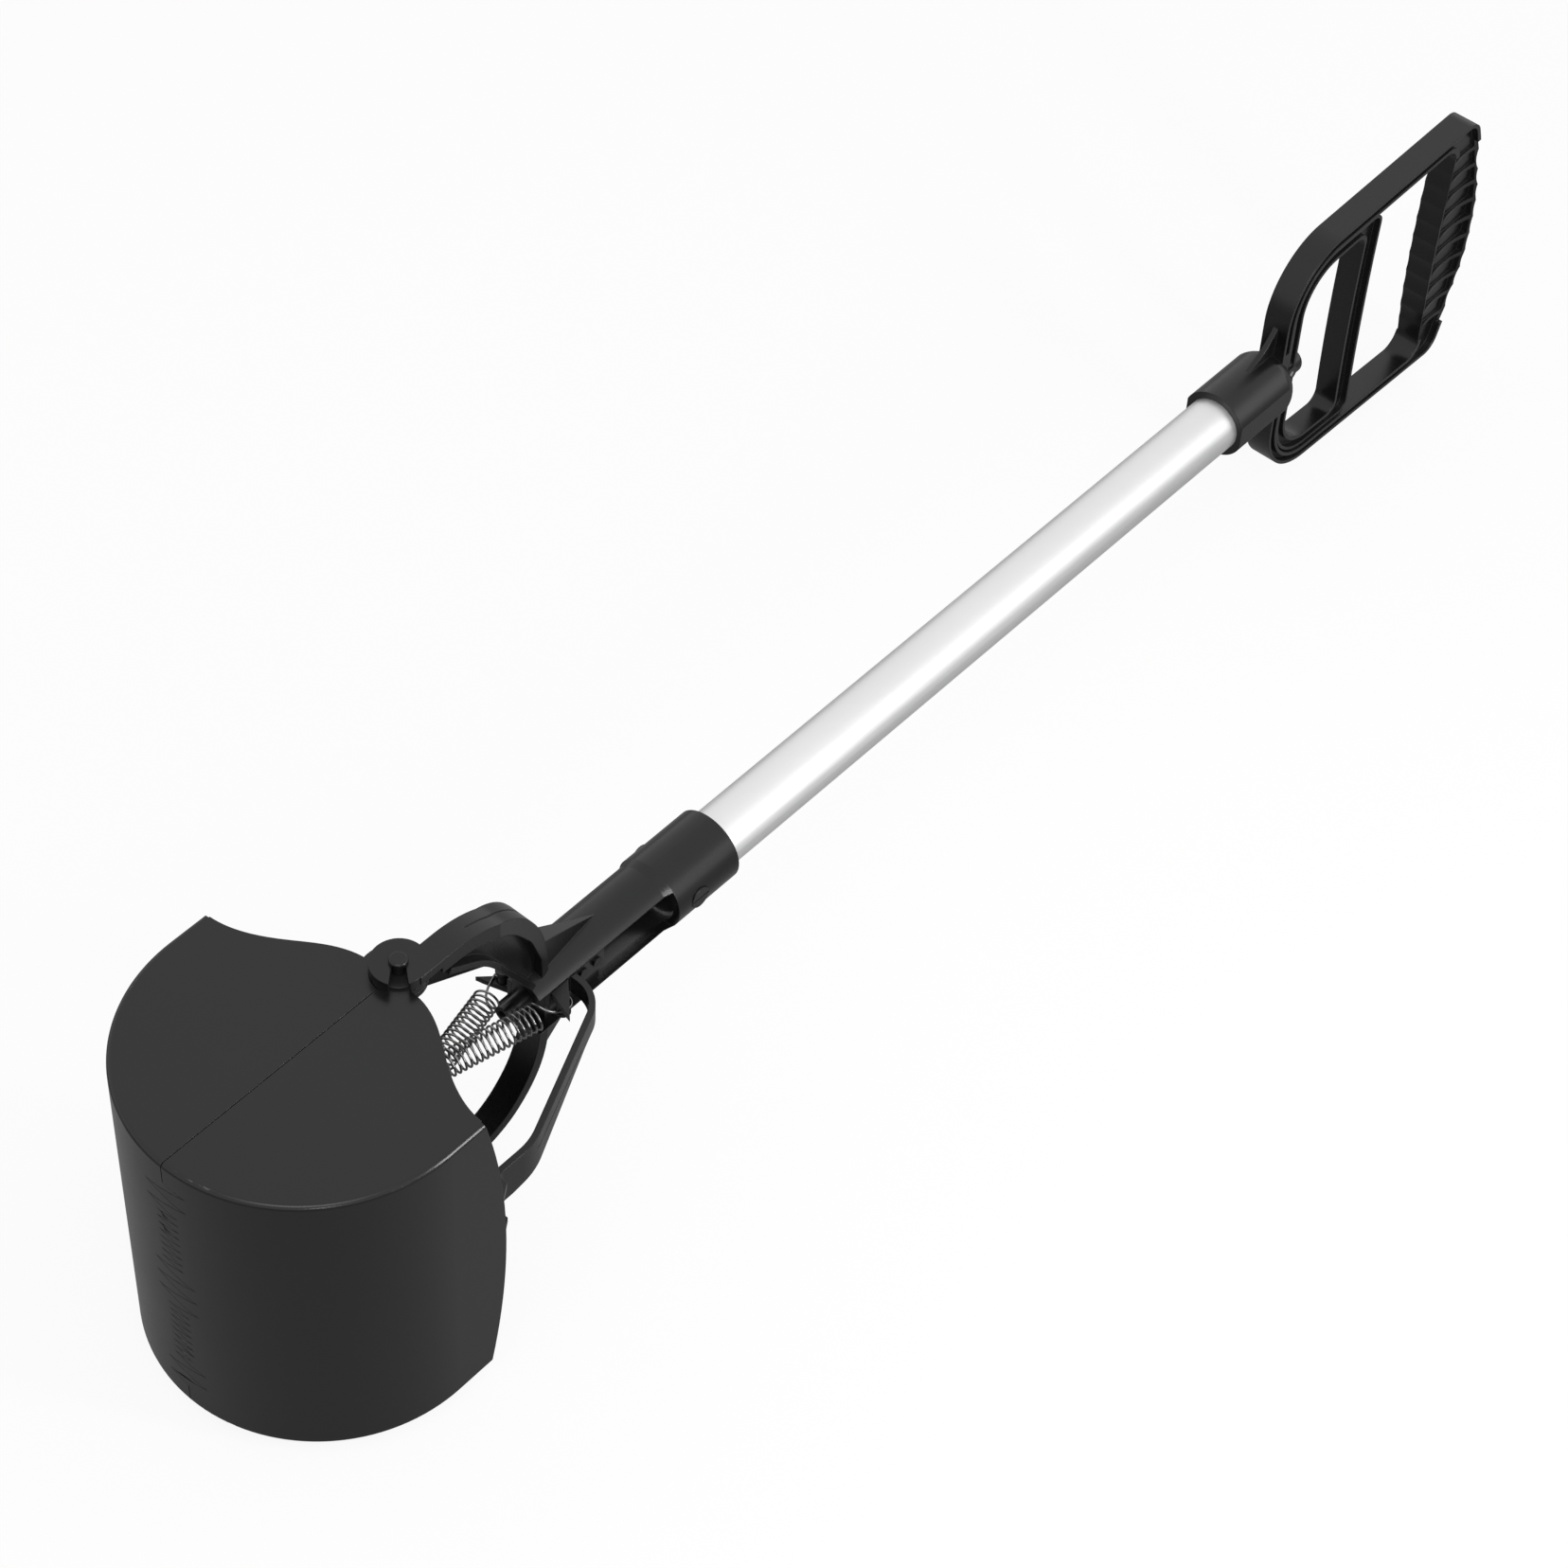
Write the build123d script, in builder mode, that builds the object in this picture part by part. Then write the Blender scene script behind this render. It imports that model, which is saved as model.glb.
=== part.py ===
from build123d import *
from math import cos, hypot, pi, radians, sin, sqrt
import os

# A long-handled scooper for pet waste: two jaws on one hinge, opened by a trigger in the handle.
# It lies on its side. The shaft runs along X towards the handle and the hinge stands along Z.
# Places are measured from the hinge along the shaft, and from the shaft's axis across it.

# Clearances and the overrun of every cut
running_gap = 0.08
seat_gap = 0.05
overrun = 4.0
half_turn = 180.0

# Shaft tube
tube_radius = 12.5
tube_wall = 1.2
tube_inset = 3.0
tube_end = 533.0

# Bucket
mouth_reach = 115.5
bucket_radius = 70.0
bucket_half_width = 73.4
bucket_wall = 2.4
rim_radius = 2.0
seam_gap = 0.2
wall_rear_middle = 19.4
wall_rear_side = 28.5

# Cheek's rear border, from the wall to the knuckle: distances in front of the hinge, and places
# beside it as shares of the bucket's radius
border_fronts = [28.0, 25.2, 18.0, 9.5, 3.8]
border_side_shares = [0.966, 0.786, 0.593, 0.414, 0.207]
border_end = (3.2, 5.0)

# Interlocking teeth, as swings of the mouth's edge about the seam, with shares of the half width
large_pitch_share = 0.113
small_pitch_share = 0.0545
swing_change_share = 0.0422
large_swing = 9.5
small_swing = 4.9
middle_swings = 3
small_swings = 17
outer_swings = 4
tooth_setback = 0.8

# Hinge
rod_radius = 2.8
rod_head_radius = 3.6
rod_proud = 2.0
rod_dome = 0.9
rod_groove_depth = 0.4
rod_groove_width = 1.4
knuckle_radius = 10.4
knuckle_pad_radius = 15.5
knuckle_lap = 0.2
knuckle_gap = 0.4
washer_radius = 8.6
washer_thickness = 1.2
clip_radius = 5.0
clip_thickness = 0.8

# Yoke
eye_radius = 10.8
eye_thickness = 4.4
keyhole_neck = 4.5
keyhole_mouth = 7.6
keyhole_turn = 225.0
arm_width = 11.2
arm_straight = 40.0
arm_depth = 4.0
arm_crown = 43.6
arm_shin = 71.0
arm_knee_share = 0.376
arm_bends = [50.0, 66.0]
arm_groove_start = 28.0
arm_groove_width = 0.7
arm_groove_depth = 0.4
lip_depth = 7.0
lip_width = 4.4
lip_crown = 39.9
lip_knee = 60.3
lip_knee_share = 0.440
lip_bends = [43.0, 25.0]
rib_thickness = 2.6
rib_web = 2.4
rib_start = 14.6
rib_drop = 9.6
rib_knee = 34.0
rib_knee_share = 0.678
rib_bend = 40.0
toe_reach = 105.0
toe_share = 0.27
toe_hollow = 2.6
yoke_start = 60.5
yoke_shoulder = 134.0
yoke_socket_depth = 34.6
yoke_body_radius = 15.1
yoke_socket_radius = 15.9
yoke_ramp = 4.0
yoke_slot_half = 10.0

# Screws of the yoke and the handle
yoke_screw_inset = 12.0
yoke_screw_head = 4.7
yoke_screw_proud = 1.0
handle_screw_inset = 21.0
handle_screw_head = 3.6
handle_screw_proud = 1.4
tube_screw_radius = 2.0
tube_screw_tip = 6.0
driver_slot_width = 1.0
driver_slot_depth = 0.7

# Pull rod, its guides and its cross pins
pull_radius = 3.6
pull_wall = 0.8
pull_start = 70.0
pull_seat_depth = 6.5
lower_guide_inset = 0.5
lower_guide_length = 18.0
upper_guide_inset = 31.0
upper_guide_length = 22.0
cross_pin_radius = 1.4
slider_pin_place = 90.0
pin_boss_radius = 3.7
pin_boss_proud = 0.8
trigger_pin_inset = 3.3

# Slider
slider_start = 66.0
slider_length = 30.0
slider_depth = 8.5
slider_width = 9.6
slider_edge = 0.8
spigot_start = 52.0
spigot_radius = 3.9
spigot_bore = 2.2

# Link arms, as distances from the hinge along the shaft and out from its axis
link_low = 0.4
link_high = 9.6
link_drop = 9.2
link_strip = 2.6
link_web = 2.4
link_base_depth = 2.6
link_root = 78.7
link_elbow = 24.6
link_straight = 62.0
link_bend_reach = 11.5
link_bend_share = 0.7686
link_turn_reach = -7.0
link_end_reach = -16.0
link_end_share = 0.8243
link_bends = [16.0, 28.0, 10.0]
link_heel = (63.3, 21.9)
link_hollow = (60.6, 29.0)
link_tail = (50.0, 36.8)
link_toe_inset = 1.0
link_groove_level = 2.8
link_groove_width = 0.8
link_groove_depth = 0.4
link_groove_start = 14.0
link_groove_end = 58.0
link_eye_radius = 5.0
link_screw_places = (84.0, 91.5)
link_screw_level = 6.2
link_screw_radius = 1.4
link_screw_head = 2.2
link_screw_proud = 1.2
link_screw_length = 8.0
link_pin_radius = 2.2
link_pin_head = 3.4
link_pin_proud = 1.2
post_place = (68.5, 15.6)
post_radius = 2.6
post_head_radius = 3.1
post_head = 0.9

# Slotted ears inside the jaws
ear_thickness = 2.6
ear_gap = 0.3
ear_root_front = 46.0
ear_root_rear = 20.4
ear_tip_half = 6.6
ear_tip_rise = 7.1
ear_sink = 0.8
ear_corner = 4.0
pin_slot_gap = 0.35

# Springs
spring_level = 6.0
wire_radius = 0.45
coil_radius = 5.3
coil_inset = 11.2
coil_half_turns = 36
hook_radius = 3.75
hook_offset = 0.3
hook_end_angle = 50.0
gap_samples = 1400
gap_reach = 3.0

# Handle frame, a D with its round side towards the tube
handle_thickness = 12.5
frame_inset = 4.5
frame_length = 149.5
frame_rim = 5.6
corner_half = 68.0
shoulder_step = 5.3
corner_depth = 13.5
grip_corner_depth = 26.5
grip_depth = 30.5
shoulder_radius = 34.0
corner_radius = 9.0
frame_lip = 1.5
frame_channel = 3.4
grip_rib = 2.0
grip_pitch_share = 0.159
grip_ribs = 10
grip_dip = 2.4
grip_dip_half = 13.7
scallop_depth = 0.9
inner_scallop_depth = 0.6

# Handle socket
socket_depth = 35.0
socket_radius = 15.8
socket_flat = 14.7
socket_tip_radius = 6.2
socket_swell = 2.4
gusset_depth = 24.0
gusset_share = 0.526
gusset_thickness = 2.4
gusset_sink = 2.0
gusset_hollow = 4.5

# Trigger, a smaller D that slides inside the handle frame
trigger_thickness = 10.8
trigger_gap = 0.9
trigger_rim = 6.4
trigger_length = 60.0
trigger_bar_depth = 11.6
trigger_bow = 1.6
trigger_corner = 6.0
trigger_lip = 1.5
trigger_channel = 3.0
trigger_boss_radius = 6.1
trigger_boss_length = 12.6
trigger_boss_bend = 2.4

# Places that follow from those sizes, across the bucket and then along the shaft
eye_bottom = bucket_half_width + washer_thickness
eye_top = eye_bottom + eye_thickness
rod_reach = eye_top + rod_proud
link_bend = (link_bend_reach, link_bend_share * bucket_radius)
link_turn = (link_turn_reach, link_bend_share * bucket_radius)
link_end = (link_end_reach, link_end_share * bucket_radius)
large_pitch = large_pitch_share * bucket_half_width
small_pitch = small_pitch_share * bucket_half_width
swing_change = swing_change_share * bucket_half_width
tube_start = yoke_shoulder + tube_inset
yoke_end = yoke_shoulder + yoke_socket_depth
yoke_screw_place = yoke_shoulder + yoke_screw_inset
lower_guide_start = tube_start + lower_guide_inset
upper_guide_start = tube_end - upper_guide_inset
handle_screw_place = tube_end - handle_screw_inset
frame_start = tube_end + frame_inset
grip_reach = frame_start + frame_length
trigger_start = frame_start + frame_rim + trigger_gap
trigger_pin_place = trigger_start + trigger_pin_inset
pull_end = trigger_start + pull_seat_depth

# The part's place: its middle along X, and its lowest point at zero on Z
hinge_x = (mouth_reach - grip_reach) / 2
shaft_z = rod_reach
shaft_axis = Axis((hinge_x, 0, shaft_z), (1, 0, 0))


def level(height):
    """Plane square to the hinge, at a height over the shaft's axis."""
    return Plane(origin=(hinge_x, 0, shaft_z + height), x_dir=(1, 0, 0), z_dir=(0, 0, 1))


def upright(depth):
    """Plane along the shaft and the hinge, facing the right-hand side."""
    return Plane(origin=(hinge_x, depth, shaft_z), x_dir=(1, 0, 0), z_dir=(0, -1, 0))


def across(reach):
    """Plane square to the shaft, at a distance from the hinge."""
    return Plane(origin=(hinge_x + reach, 0, shaft_z), x_dir=(0, 1, 0), z_dir=(1, 0, 0))


def moved_line(route, bends, shift):
    """A route of straight runs and round bends, moved to its left by a distance."""
    points = [Vector(*place) for place in route]
    runs = [(end - start).normalized() for start, end in zip(points, points[1:])]
    sides = [Vector(-run.Y, run.X) for run in runs]
    places = [points[0] + sides[0] * shift]
    radii = []
    for index, bend in enumerate(bends):
        joint = sides[index] + sides[index + 1]
        places.append(points[index + 1] + joint * (shift / (1 + sides[index].dot(sides[index + 1]))))
        turn = runs[index].X * runs[index + 1].Y - runs[index].Y * runs[index + 1].X
        radii.append(bend - shift if turn > 0 else bend + shift)
    places.append(points[-1] + sides[-1] * shift)
    return places, radii


def band_face(route, bends, near, far):
    """Face between two lines that run beside a route, each at its own distance to the left."""
    near_places, near_radii = moved_line(route, bends, near)
    far_places, far_radii = moved_line(route, bends, far)
    with BuildSketch(Plane.XY) as outline:
        with BuildLine():
            FilletPolyline(*near_places, radius=near_radii)
            Line(near_places[-1], far_places[-1])
            FilletPolyline(*far_places, radius=far_radii)
            Line(far_places[0], near_places[0])
        make_face()
    return outline.sketch


def strip_face(route, near, far):
    """Face between two lines beside a route with sharp corners."""
    near_places = moved_line(route, [0] * (len(route) - 2), near)[0]
    far_places = moved_line(route, [0] * (len(route) - 2), far)[0]
    with BuildSketch(Plane.XY) as outline:
        Polygon(*near_places, *reversed(far_places), align=None)
    return outline.sketch


def turned(shape):
    """The same shape turned half round about the shaft."""
    return shape.rotate(shaft_axis, half_turn)


def finish(builder, name):
    """Labels a finished piece and writes its file."""
    builder.part.label = name
    export_step(builder.part, f"parts/{name}.step")


os.makedirs("parts", exist_ok=True)

# Shaft tube, cross-drilled for the screws of the yoke and the handle
with BuildPart() as tube:
    with BuildSketch(across(tube_start)):
        Circle(tube_radius)
        Circle(tube_radius - tube_wall, mode=Mode.SUBTRACT)
    extrude(amount=tube_end - tube_start)
    with BuildSketch(upright(tube_radius + overrun)):
        with Locations((yoke_screw_place, 0)):
            Circle(tube_screw_radius + seat_gap)
    extrude(amount=2 * (tube_radius + overrun), mode=Mode.SUBTRACT)
    with BuildSketch(upright(tube_radius + overrun)):
        with Locations((handle_screw_place, 0)):
            Circle(tube_screw_radius + seat_gap)
    extrude(amount=tube_radius + overrun, mode=Mode.SUBTRACT)
finish(tube, "tube")

# Yoke arm: a curved strap from the hinge eye over and down to the body, where it is centred.
# Its side view is cut to a strip, seen from above, that bends towards the shaft's axis.
rail_level = (yoke_body_radius + tube_radius) / 2
arm_rise = eye_top - rail_level
knee_level = rail_level + arm_knee_share * arm_rise
lip_level = rail_level + lip_knee_share * arm_rise
toe_level = rail_level + toe_share * arm_rise
rib_level = rail_level + rib_knee_share * arm_rise
arm_half = arm_width / 2
strip_route = [(0, -arm_half), (arm_straight, -arm_half), (arm_shin, 0), (toe_reach, 0)]
arm_route = [(0, eye_top), (arm_crown, eye_top), (arm_shin, knee_level), (arm_shin, rail_level)]
neck_side = keyhole_neck / 2
mouth_side = keyhole_mouth / 2

with BuildPart() as strap:
    with BuildSketch(upright(arm_width)):
        add(band_face(arm_route, arm_bends, 0, -arm_depth))
    extrude(amount=2 * arm_width)
    with BuildSketch(level(0)):
        add(strip_face(strip_route, -arm_half, arm_half))
    extrude(amount=rod_reach, mode=Mode.INTERSECT)

with BuildPart() as groove:
    with BuildSketch(upright(arm_width)):
        add(band_face(arm_route, arm_bends, arm_groove_depth, -arm_groove_depth))
    extrude(amount=2 * arm_width)
    with BuildSketch(level(0)):
        add(strip_face(strip_route, -arm_groove_width / 2, arm_groove_width / 2))
        with Locations((arm_groove_start, 0)):
            Rectangle(
                toe_reach,
                2 * arm_width,
                align=(Align.MIN, Align.CENTER),
                mode=Mode.INTERSECT,
            )
    extrude(amount=rod_reach, mode=Mode.INTERSECT)

toe_start = arm_shin - arm_depth / 2
toe_side = arm_half - arm_depth / 4
with BuildPart() as toe:
    with BuildSketch(upright(arm_width)):
        Polygon(
            (toe_start, rail_level),
            (toe_start, toe_level),
            (toe_reach, rail_level),
            align=None,
        )
    extrude(amount=2 * arm_width)
    with BuildSketch(level(0)):
        with BuildLine():
            Line((toe_start, toe_side), (toe_start, -toe_side))
            ThreePointArc(
                (toe_start, -toe_side),
                ((arm_shin + toe_reach) / 2, toe_hollow - toe_side),
                (toe_reach, 0),
            )
            ThreePointArc(
                (toe_reach, 0),
                ((arm_shin + toe_reach) / 2, toe_side - toe_hollow),
                (toe_start, toe_side),
            )
        make_face()
    extrude(amount=rod_reach, mode=Mode.INTERSECT)

with BuildPart() as arm:
    add(strap.part)
    add(groove.part, mode=Mode.SUBTRACT)
    add(toe.part)
    with BuildSketch(level(eye_bottom - overrun)):
        Circle(eye_radius)
    extrude(amount=overrun, mode=Mode.SUBTRACT)
    with BuildSketch(level(eye_bottom)):
        Circle(eye_radius)
    extrude(amount=eye_top - eye_bottom)
    with BuildSketch(level(eye_bottom)):
        Circle(rod_radius + seat_gap)
        Polygon(
            (0, neck_side),
            (0, -neck_side),
            (eye_radius, -mouth_side),
            (eye_radius, mouth_side),
            rotation=keyhole_turn,
            align=None,
        )
    extrude(amount=eye_top - eye_bottom, mode=Mode.SUBTRACT)

# What the upper arm has besides: a deeper lip on its right-hand side, and a rib and its web below
lip_outside = [(eye_radius, eye_top), *arm_route[1:]]
lip_inside = [
    (arm_shin, rail_level),
    (lip_knee, lip_level),
    (lip_crown, eye_top - lip_depth),
    (eye_radius, eye_top - lip_depth),
]
rib_route = [
    (rib_start, eye_top - rib_drop),
    (rib_knee, rib_level),
    (yoke_start + rib_thickness / 2, rail_level),
]
with BuildPart() as lip:
    with BuildSketch(upright(arm_width)):
        with BuildLine():
            FilletPolyline(*lip_outside, radius=arm_bends)
            FilletPolyline(*lip_inside, radius=lip_bends[::-1])
            Line(lip_inside[-1], lip_outside[0])
        make_face()
    extrude(amount=2 * arm_width)
    with BuildSketch(level(0)):
        add(strip_face(strip_route, -arm_half, lip_width - arm_half))
    extrude(amount=rod_reach, mode=Mode.INTERSECT)

with BuildPart() as rib:
    with BuildSketch(upright(arm_width)):
        add(band_face(rib_route, [rib_bend], -rib_thickness / 2, rib_thickness / 2))
    extrude(amount=2 * arm_width)
    with BuildSketch(level(0)):
        add(strip_face(strip_route, -arm_half, arm_half))
    extrude(amount=rod_reach, mode=Mode.INTERSECT)

web_route, web_bends = moved_line(arm_route, arm_bends, -arm_depth / 2)
with BuildPart() as web:
    with BuildSketch(upright(arm_width)):
        with BuildLine():
            FilletPolyline(*web_route, radius=web_bends)
            Line(web_route[-1], rib_route[-1])
            FilletPolyline(*rib_route, radius=rib_bend)
            Line(rib_route[0], web_route[0])
        make_face()
    extrude(amount=2 * arm_width)
    with BuildSketch(level(0)):
        add(strip_face(strip_route, -rib_web / 2, rib_web / 2))
    extrude(amount=rod_reach, mode=Mode.INTERSECT)
    with BuildSketch(level(0)):
        Circle(rib_start)
    extrude(amount=rod_reach, mode=Mode.SUBTRACT)

# Yoke: socket for the tube, slotted body for the slider, and two arms to the hinge
yoke_spot_face = sqrt(yoke_socket_radius**2 - yoke_screw_head**2) - seat_gap
with BuildPart() as yoke:
    with BuildSketch(upright(0)):
        with BuildLine():
            Polyline(
                (yoke_start, 0),
                (yoke_start, yoke_body_radius),
                (yoke_shoulder - yoke_ramp, yoke_body_radius),
                (yoke_shoulder, yoke_socket_radius),
                (yoke_end, yoke_socket_radius),
                (yoke_end, 0),
                close=True,
            )
        make_face()
    revolve(axis=shaft_axis)
    add(arm.part)
    add(lip.part)
    add(rib.part)
    add(web.part)
    add(turned(arm.part))
    with BuildSketch(across(yoke_start - overrun)):
        Circle(tube_radius + seat_gap)
    extrude(amount=yoke_end - yoke_start + 2 * overrun, mode=Mode.SUBTRACT)
    with BuildSketch(across(yoke_start - overrun)):
        Rectangle(2 * (yoke_body_radius + overrun), 2 * yoke_slot_half)
    extrude(amount=yoke_shoulder - yoke_start + overrun, mode=Mode.SUBTRACT)
    with BuildSketch(upright(yoke_socket_radius + overrun)):
        with Locations((yoke_screw_place, 0)):
            Circle(tube_screw_radius + seat_gap)
    extrude(amount=2 * (yoke_socket_radius + overrun), mode=Mode.SUBTRACT)
    for side in (1, -1):
        with BuildSketch(upright(side * yoke_spot_face)):
            with Locations((yoke_screw_place, 0)):
                Circle(yoke_screw_head + seat_gap)
        extrude(amount=-side * overrun, mode=Mode.SUBTRACT)
finish(yoke, "yoke")

# Two screws that hold the yoke, the tube and the lower guide together
with BuildPart() as yoke_screws:
    for side in (1, -1):
        with BuildSketch(upright(side * tube_screw_tip)):
            with Locations((yoke_screw_place, 0)):
                Circle(tube_screw_radius)
        extrude(amount=-side * (yoke_spot_face - tube_screw_tip))
        with BuildSketch(upright(side * yoke_spot_face)):
            with Locations((yoke_screw_place, 0)):
                Circle(yoke_screw_head)
        extrude(amount=-side * yoke_screw_proud)
        with BuildSketch(upright(side * (yoke_spot_face + yoke_screw_proud))):
            with Locations((yoke_screw_place, 0)):
                Rectangle(2 * yoke_screw_head, driver_slot_width)
        extrude(amount=side * driver_slot_depth, mode=Mode.SUBTRACT)
finish(yoke_screws, "yoke_screws")

# Screw that holds the handle on the tube and the upper guide
with BuildPart() as handle_screw:
    with BuildSketch(upright(tube_screw_tip)):
        with Locations((handle_screw_place, 0)):
            Circle(tube_screw_radius)
    extrude(amount=tube_screw_tip - socket_flat)
    with BuildSketch(upright(socket_flat)):
        with Locations((handle_screw_place, 0)):
            Circle(handle_screw_head)
    extrude(amount=-handle_screw_proud)
    with BuildSketch(upright(socket_flat + handle_screw_proud)):
        with Locations((handle_screw_place, 0)):
            Rectangle(2 * handle_screw_head, driver_slot_width)
    extrude(amount=driver_slot_depth, mode=Mode.SUBTRACT)
finish(handle_screw, "handle_screw")

# Guides for the pull rod at both ends of the tube
guide_radius = tube_radius - tube_wall - seat_gap
with BuildPart() as lower_guide:
    with BuildSketch(across(lower_guide_start)):
        Circle(guide_radius)
        Circle(pull_radius + running_gap, mode=Mode.SUBTRACT)
    extrude(amount=lower_guide_length)
    with BuildSketch(upright(guide_radius + overrun)):
        with Locations((yoke_screw_place, 0)):
            Circle(tube_screw_radius + seat_gap)
    extrude(amount=2 * (guide_radius + overrun), mode=Mode.SUBTRACT)
finish(lower_guide, "lower_guide")

with BuildPart() as upper_guide:
    with BuildSketch(across(upper_guide_start)):
        Circle(guide_radius)
        Circle(pull_radius + running_gap, mode=Mode.SUBTRACT)
    extrude(amount=upper_guide_length)
    with BuildSketch(upright(guide_radius + overrun)):
        with Locations((handle_screw_place, 0)):
            Circle(tube_screw_radius + seat_gap)
    extrude(amount=guide_radius + overrun, mode=Mode.SUBTRACT)
finish(upper_guide, "upper_guide")

# Hinge rod through both eyes and all four knuckles, grooved where the springs hook on
with BuildPart() as hinge_rod:
    with BuildSketch(level(-rod_reach)):
        Circle(rod_radius)
    extrude(amount=2 * rod_reach)
    for start in (eye_top, -rod_reach):
        with BuildSketch(level(start)):
            Circle(rod_head_radius)
        extrude(amount=rod_proud)
    fillet(hinge_rod.edges().group_by(Axis.Z)[0], rod_dome)
    fillet(hinge_rod.edges().group_by(Axis.Z)[-1], rod_dome)
    for side in (1, -1):
        with BuildSketch(level(side * spring_level - rod_groove_width / 2)):
            Circle(rod_radius + overrun)
            Circle(rod_radius - rod_groove_depth, mode=Mode.SUBTRACT)
        extrude(amount=rod_groove_width, mode=Mode.SUBTRACT)
finish(hinge_rod, "hinge_rod")

# Washers between the cheeks and the yoke's eyes
with BuildPart() as hinge_washers:
    for start in (bucket_half_width, -eye_bottom):
        with BuildSketch(level(start)):
            Circle(washer_radius)
            Circle(rod_radius + seat_gap, mode=Mode.SUBTRACT)
        extrude(amount=eye_bottom - bucket_half_width)
finish(hinge_washers, "hinge_washers")

# Push-on clips that keep the knuckles out against the washers
clip_top = bucket_half_width - 2 * bucket_wall - knuckle_lap
with BuildPart() as hinge_clips:
    for start in (clip_top - clip_thickness, -clip_top):
        with BuildSketch(level(start)):
            Circle(clip_radius)
            Circle(rod_radius + seat_gap, mode=Mode.SUBTRACT)
        extrude(amount=clip_thickness)
finish(hinge_clips, "hinge_clips")

# Mouth edge of the right jaw: a zigzag that is odd about the middle, so the turned jaw fills it
swings = []
place = large_pitch / 4
for step in range(middle_swings):
    swings.append((place, large_swing * (-1) ** step))
    place += large_pitch / 2
place += swing_change - large_pitch / 2
for step in range(small_swings):
    swings.append((place, -small_swing * (-1) ** step))
    place += small_pitch / 2
place += swing_change - small_pitch / 2
for step in range(outer_swings):
    swings.append((place, large_swing * (-1) ** step))
    place += large_pitch / 2
plain_place = swings[-1][0] + large_pitch / 4
far_side = bucket_half_width + overrun
edge = [(-seam_gap, -far_side), (-seam_gap, -plain_place)]
edge += [(-swing - tooth_setback, -place) for place, swing in reversed(swings)]
edge += [(swing - tooth_setback, place) for place, swing in swings]
edge += [(-seam_gap, plain_place), (-seam_gap, far_side)]
tooth_top = large_swing + overrun

# Right jaw: half a bucket with a toothed mouth, lapped knuckles and a pair of slotted ears
wall_middle = bucket_radius - mouth_reach
inner_radius = bucket_radius - bucket_wall
front_top = wall_middle - sqrt(bucket_radius**2 - large_swing**2)
front_inner = wall_middle - sqrt(inner_radius**2 - tooth_top**2)
front_turn = radians(half_turn + half_turn / 4)
border = [(-front, -share * bucket_radius) for front, share in zip(border_fronts, border_side_shares)]
pin_distance = hypot(link_end[0], link_end[1])
pin_nearest = link_end[1]
ear_tip_depth = link_end[1] - ear_tip_rise
slot_length = pin_distance - pin_nearest
slot_middle = (pin_distance + pin_nearest) / 2 / pin_distance
slot_turn = Vector(link_end[0], -link_end[1]).get_signed_angle(Vector(1, 0), Vector(0, 0, -1))

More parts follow.
